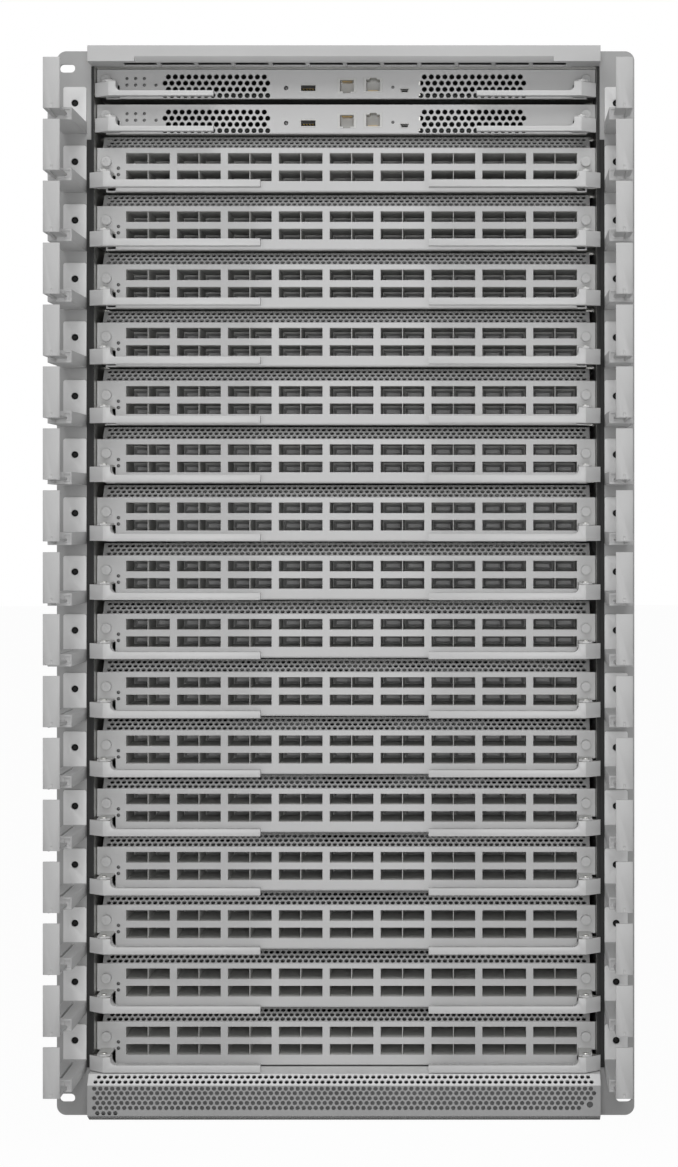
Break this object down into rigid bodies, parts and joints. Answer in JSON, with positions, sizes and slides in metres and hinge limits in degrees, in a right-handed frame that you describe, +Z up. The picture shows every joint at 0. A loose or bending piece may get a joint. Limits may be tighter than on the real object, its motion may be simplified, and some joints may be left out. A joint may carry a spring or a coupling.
{
  "type": "modular chassis switch",
  "caption": "Tall rack-mount modular chassis switch with supervisor modules, line cards, ejector levers and cable brackets.",
  "frame": {"origin": "bottom centre of the whole object's box", "axes": "+Z up, the port side faces -Y, +X to the right as seen from the front"},
  "size_m": [0.4826, 0.979, 0.889],
  "materials": {
    "grey_paint": "satin",
    "lever_paint": "satin",
    "grey_plastic": "matte",
    "zinc_plate": "satin"
  },
  "bodies": {
    "chassis": {"chassis_frame": "grey_paint", "top_visor": "grey_paint", "air_intake": "grey_paint", "cable_brackets": "grey_plastic", "fan_trays": "zinc_plate", "power_supplies": "zinc_plate"},
    "supervisor_1": {"supervisor_1": "grey_paint"},
    "supervisor_2": {"supervisor_2": "grey_paint"},
    "line_card_01": {"line_card_01": "grey_paint"},
    "line_card_02": {"line_card_02": "grey_paint"},
    "line_card_03": {"line_card_03": "grey_paint"},
    "line_card_04": {"line_card_04": "grey_paint"},
    "line_card_05": {"line_card_05": "grey_paint"},
    "line_card_06": {"line_card_06": "grey_paint"},
    "line_card_07": {"line_card_07": "grey_paint"},
    "line_card_08": {"line_card_08": "grey_paint"},
    "line_card_09": {"line_card_09": "grey_paint"},
    "line_card_10": {"line_card_10": "grey_paint"},
    "line_card_11": {"line_card_11": "grey_paint"},
    "line_card_12": {"line_card_12": "grey_paint"},
    "line_card_13": {"line_card_13": "grey_paint"},
    "line_card_14": {"line_card_14": "grey_paint"},
    "line_card_15": {"line_card_15": "grey_paint"},
    "line_card_16": {"line_card_16": "grey_paint"},
    "supervisor_1_lever_left": {"supervisor_1_lever_left": "lever_paint"},
    "supervisor_1_lever_right": {"supervisor_1_lever_right": "lever_paint"},
    "supervisor_2_lever_left": {"supervisor_2_lever_left": "lever_paint"},
    "supervisor_2_lever_right": {"supervisor_2_lever_right": "lever_paint"},
    "line_card_01_lever_left": {"line_card_01_lever_left": "lever_paint"},
    "line_card_01_lever_right": {"line_card_01_lever_right": "lever_paint"},
    "line_card_02_lever_left": {"line_card_02_lever_left": "lever_paint"},
    "line_card_02_lever_right": {"line_card_02_lever_right": "lever_paint"},
    "line_card_03_lever_left": {"line_card_03_lever_left": "lever_paint"},
    "line_card_03_lever_right": {"line_card_03_lever_right": "lever_paint"},
    "line_card_04_lever_left": {"line_card_04_lever_left": "lever_paint"},
    "line_card_04_lever_right": {"line_card_04_lever_right": "lever_paint"},
    "line_card_05_lever_left": {"line_card_05_lever_left": "lever_paint"},
    "line_card_05_lever_right": {"line_card_05_lever_right": "lever_paint"},
    "line_card_06_lever_left": {"line_card_06_lever_left": "lever_paint"},
    "line_card_06_lever_right": {"line_card_06_lever_right": "lever_paint"},
    "line_card_07_lever_left": {"line_card_07_lever_left": "lever_paint"},
    "line_card_07_lever_right": {"line_card_07_lever_right": "lever_paint"},
    "line_card_08_lever_left": {"line_card_08_lever_left": "lever_paint"},
    "line_card_08_lever_right": {"line_card_08_lever_right": "lever_paint"},
    "line_card_09_lever_left": {"line_card_09_lever_left": "lever_paint"},
    "line_card_09_lever_right": {"line_card_09_lever_right": "lever_paint"},
    "line_card_10_lever_left": {"line_card_10_lever_left": "lever_paint"},
    "line_card_10_lever_right": {"line_card_10_lever_right": "lever_paint"},
    "line_card_11_lever_left": {"line_card_11_lever_left": "lever_paint"},
    "line_card_11_lever_right": {"line_card_11_lever_right": "lever_paint"},
    "line_card_12_lever_left": {"line_card_12_lever_left": "lever_paint"},
    "line_card_12_lever_right": {"line_card_12_lever_right": "lever_paint"},
    "line_card_13_lever_left": {"line_card_13_lever_left": "lever_paint"},
    "line_card_13_lever_right": {"line_card_13_lever_right": "lever_paint"},
    "line_card_14_lever_left": {"line_card_14_lever_left": "lever_paint"},
    "line_card_14_lever_right": {"line_card_14_lever_right": "lever_paint"},
    "line_card_15_lever_left": {"line_card_15_lever_left": "lever_paint"},
    "line_card_15_lever_right": {"line_card_15_lever_right": "lever_paint"},
    "line_card_16_lever_left": {"line_card_16_lever_left": "lever_paint"},
    "line_card_16_lever_right": {"line_card_16_lever_right": "lever_paint"}
  },
  "joints": [
    {"name": "supervisor_1_slide", "type": "slide", "parent": "chassis", "child": "supervisor_1", "axis": [0, -1, 0], "range_m": [0, 0.5]},
    {"name": "supervisor_2_slide", "type": "slide", "parent": "chassis", "child": "supervisor_2", "axis": [0, -1, 0], "range_m": [0, 0.5]},
    {"name": "line_card_01_slide", "type": "slide", "parent": "chassis", "child": "line_card_01", "axis": [0, -1, 0], "range_m": [0, 0.5]},
    {"name": "line_card_02_slide", "type": "slide", "parent": "chassis", "child": "line_card_02", "axis": [0, -1, 0], "range_m": [0, 0.5]},
    {"name": "line_card_03_slide", "type": "slide", "parent": "chassis", "child": "line_card_03", "axis": [0, -1, 0], "range_m": [0, 0.5]},
    {"name": "line_card_04_slide", "type": "slide", "parent": "chassis", "child": "line_card_04", "axis": [0, -1, 0], "range_m": [0, 0.5]},
    {"name": "line_card_05_slide", "type": "slide", "parent": "chassis", "child": "line_card_05", "axis": [0, -1, 0], "range_m": [0, 0.5]},
    {"name": "line_card_06_slide", "type": "slide", "parent": "chassis", "child": "line_card_06", "axis": [0, -1, 0], "range_m": [0, 0.5]},
    {"name": "line_card_07_slide", "type": "slide", "parent": "chassis", "child": "line_card_07", "axis": [0, -1, 0], "range_m": [0, 0.5]},
    {"name": "line_card_08_slide", "type": "slide", "parent": "chassis", "child": "line_card_08", "axis": [0, -1, 0], "range_m": [0, 0.5]},
    {"name": "line_card_09_slide", "type": "slide", "parent": "chassis", "child": "line_card_09", "axis": [0, -1, 0], "range_m": [0, 0.5]},
    {"name": "line_card_10_slide", "type": "slide", "parent": "chassis", "child": "line_card_10", "axis": [0, -1, 0], "range_m": [0, 0.5]},
    {"name": "line_card_11_slide", "type": "slide", "parent": "chassis", "child": "line_card_11", "axis": [0, -1, 0], "range_m": [0, 0.5]},
    {"name": "line_card_12_slide", "type": "slide", "parent": "chassis", "child": "line_card_12", "axis": [0, -1, 0], "range_m": [0, 0.5]},
    {"name": "line_card_13_slide", "type": "slide", "parent": "chassis", "child": "line_card_13", "axis": [0, -1, 0], "range_m": [0, 0.5]},
    {"name": "line_card_14_slide", "type": "slide", "parent": "chassis", "child": "line_card_14", "axis": [0, -1, 0], "range_m": [0, 0.5]},
    {"name": "line_card_15_slide", "type": "slide", "parent": "chassis", "child": "line_card_15", "axis": [0, -1, 0], "range_m": [0, 0.5]},
    {"name": "line_card_16_slide", "type": "slide", "parent": "chassis", "child": "line_card_16", "axis": [0, -1, 0], "range_m": [0, 0.5]},
    {"name": "supervisor_1_lever_left_hinge", "type": "hinge", "parent": "supervisor_1", "child": "supervisor_1_lever_left", "pos_m": [-0.1967, -0.3765, 0.8556], "axis": [0, 0, -1], "range_deg": [0, 70]},
    {"name": "supervisor_1_lever_right_hinge", "type": "hinge", "parent": "supervisor_1", "child": "supervisor_1_lever_right", "pos_m": [0.1967, -0.3765, 0.8556], "axis": [0, 0, 1], "range_deg": [0, 70]},
    {"name": "supervisor_2_lever_left_hinge", "type": "hinge", "parent": "supervisor_2", "child": "supervisor_2_lever_left", "pos_m": [-0.1967, -0.3765, 0.8261], "axis": [0, 0, -1], "range_deg": [0, 70]},
    {"name": "supervisor_2_lever_right_hinge", "type": "hinge", "parent": "supervisor_2", "child": "supervisor_2_lever_right", "pos_m": [0.1967, -0.3765, 0.8261], "axis": [0, 0, 1], "range_deg": [0, 70]},
    {"name": "line_card_01_lever_left_hinge", "type": "hinge", "parent": "line_card_01", "child": "line_card_01_lever_left", "pos_m": [-0.2, -0.3845, 0.7797], "axis": [0, 0, -1], "range_deg": [0, 70]},
    {"name": "line_card_01_lever_right_hinge", "type": "hinge", "parent": "line_card_01", "child": "line_card_01_lever_right", "pos_m": [0.2, -0.3845, 0.7797], "axis": [0, 0, 1], "range_deg": [0, 70]},
    {"name": "line_card_02_lever_left_hinge", "type": "hinge", "parent": "line_card_02", "child": "line_card_02_lever_left", "pos_m": [-0.2, -0.3845, 0.73078], "axis": [0, 0, -1], "range_deg": [0, 70]},
    {"name": "line_card_02_lever_right_hinge", "type": "hinge", "parent": "line_card_02", "child": "line_card_02_lever_right", "pos_m": [0.2, -0.3845, 0.73078], "axis": [0, 0, 1], "range_deg": [0, 70]},
    {"name": "line_card_03_lever_left_hinge", "type": "hinge", "parent": "line_card_03", "child": "line_card_03_lever_left", "pos_m": [-0.2, -0.3845, 0.68186], "axis": [0, 0, -1], "range_deg": [0, 70]},
    {"name": "line_card_03_lever_right_hinge", "type": "hinge", "parent": "line_card_03", "child": "line_card_03_lever_right", "pos_m": [0.2, -0.3845, 0.68186], "axis": [0, 0, 1], "range_deg": [0, 70]},
    {"name": "line_card_04_lever_left_hinge", "type": "hinge", "parent": "line_card_04", "child": "line_card_04_lever_left", "pos_m": [-0.2, -0.3845, 0.63294], "axis": [0, 0, -1], "range_deg": [0, 70]},
    {"name": "line_card_04_lever_right_hinge", "type": "hinge", "parent": "line_card_04", "child": "line_card_04_lever_right", "pos_m": [0.2, -0.3845, 0.63294], "axis": [0, 0, 1], "range_deg": [0, 70]},
    {"name": "line_card_05_lever_left_hinge", "type": "hinge", "parent": "line_card_05", "child": "line_card_05_lever_left", "pos_m": [-0.2, -0.3845, 0.58402], "axis": [0, 0, -1], "range_deg": [0, 70]},
    {"name": "line_card_05_lever_right_hinge", "type": "hinge", "parent": "line_card_05", "child": "line_card_05_lever_right", "pos_m": [0.2, -0.3845, 0.58402], "axis": [0, 0, 1], "range_deg": [0, 70]},
    {"name": "line_card_06_lever_left_hinge", "type": "hinge", "parent": "line_card_06", "child": "line_card_06_lever_left", "pos_m": [-0.2, -0.3845, 0.5351], "axis": [0, 0, -1], "range_deg": [0, 70]},
    {"name": "line_card_06_lever_right_hinge", "type": "hinge", "parent": "line_card_06", "child": "line_card_06_lever_right", "pos_m": [0.2, -0.3845, 0.5351], "axis": [0, 0, 1], "range_deg": [0, 70]},
    {"name": "line_card_07_lever_left_hinge", "type": "hinge", "parent": "line_card_07", "child": "line_card_07_lever_left", "pos_m": [-0.2, -0.3845, 0.48618], "axis": [0, 0, -1], "range_deg": [0, 70]},
    {"name": "line_card_07_lever_right_hinge", "type": "hinge", "parent": "line_card_07", "child": "line_card_07_lever_right", "pos_m": [0.2, -0.3845, 0.48618], "axis": [0, 0, 1], "range_deg": [0, 70]},
    {"name": "line_card_08_lever_left_hinge", "type": "hinge", "parent": "line_card_08", "child": "line_card_08_lever_left", "pos_m": [-0.2, -0.3845, 0.43726], "axis": [0, 0, -1], "range_deg": [0, 70]},
    {"name": "line_card_08_lever_right_hinge", "type": "hinge", "parent": "line_card_08", "child": "line_card_08_lever_right", "pos_m": [0.2, -0.3845, 0.43726], "axis": [0, 0, 1], "range_deg": [0, 70]},
    {"name": "line_card_09_lever_left_hinge", "type": "hinge", "parent": "line_card_09", "child": "line_card_09_lever_left", "pos_m": [-0.2, -0.3845, 0.38834], "axis": [0, 0, -1], "range_deg": [0, 70]},
    {"name": "line_card_09_lever_right_hinge", "type": "hinge", "parent": "line_card_09", "child": "line_card_09_lever_right", "pos_m": [0.2, -0.3845, 0.38834], "axis": [0, 0, 1], "range_deg": [0, 70]},
    {"name": "line_card_10_lever_left_hinge", "type": "hinge", "parent": "line_card_10", "child": "line_card_10_lever_left", "pos_m": [-0.2, -0.3845, 0.33942], "axis": [0, 0, -1], "range_deg": [0, 70]},
    {"name": "line_card_10_lever_right_hinge", "type": "hinge", "parent": "line_card_10", "child": "line_card_10_lever_right", "pos_m": [0.2, -0.3845, 0.33942], "axis": [0, 0, 1], "range_deg": [0, 70]},
    {"name": "line_card_11_lever_left_hinge", "type": "hinge", "parent": "line_card_11", "child": "line_card_11_lever_left", "pos_m": [-0.2, -0.3845, 0.2905], "axis": [0, 0, -1], "range_deg": [0, 70]},
    {"name": "line_card_11_lever_right_hinge", "type": "hinge", "parent": "line_card_11", "child": "line_card_11_lever_right", "pos_m": [0.2, -0.3845, 0.2905], "axis": [0, 0, 1], "range_deg": [0, 70]},
    {"name": "line_card_12_lever_left_hinge", "type": "hinge", "parent": "line_card_12", "child": "line_card_12_lever_left", "pos_m": [-0.2, -0.3845, 0.24158], "axis": [0, 0, -1], "range_deg": [0, 70]},
    {"name": "line_card_12_lever_right_hinge", "type": "hinge", "parent": "line_card_12", "child": "line_card_12_lever_right", "pos_m": [0.2, -0.3845, 0.24158], "axis": [0, 0, 1], "range_deg": [0, 70]},
    {"name": "line_card_13_lever_left_hinge", "type": "hinge", "parent": "line_card_13", "child": "line_card_13_lever_left", "pos_m": [-0.2, -0.3845, 0.19266], "axis": [0, 0, -1], "range_deg": [0, 70]},
    {"name": "line_card_13_lever_right_hinge", "type": "hinge", "parent": "line_card_13", "child": "line_card_13_lever_right", "pos_m": [0.2, -0.3845, 0.19266], "axis": [0, 0, 1], "range_deg": [0, 70]},
    {"name": "line_card_14_lever_left_hinge", "type": "hinge", "parent": "line_card_14", "child": "line_card_14_lever_left", "pos_m": [-0.2, -0.3845, 0.14374], "axis": [0, 0, -1], "range_deg": [0, 70]},
    {"name": "line_card_14_lever_right_hinge", "type": "hinge", "parent": "line_card_14", "child": "line_card_14_lever_right", "pos_m": [0.2, -0.3845, 0.14374], "axis": [0, 0, 1], "range_deg": [0, 70]},
    {"name": "line_card_15_lever_left_hinge", "type": "hinge", "parent": "line_card_15", "child": "line_card_15_lever_left", "pos_m": [-0.2, -0.3845, 0.09482], "axis": [0, 0, -1], "range_deg": [0, 70]},
    {"name": "line_card_15_lever_right_hinge", "type": "hinge", "parent": "line_card_15", "child": "line_card_15_lever_right", "pos_m": [0.2, -0.3845, 0.09482], "axis": [0, 0, 1], "range_deg": [0, 70]},
    {"name": "line_card_16_lever_left_hinge", "type": "hinge", "parent": "line_card_16", "child": "line_card_16_lever_left", "pos_m": [-0.2, -0.3845, 0.0459], "axis": [0, 0, -1], "range_deg": [0, 70]},
    {"name": "line_card_16_lever_right_hinge", "type": "hinge", "parent": "line_card_16", "child": "line_card_16_lever_right", "pos_m": [0.2, -0.3845, 0.0459], "axis": [0, 0, 1], "range_deg": [0, 70]}
  ]
}
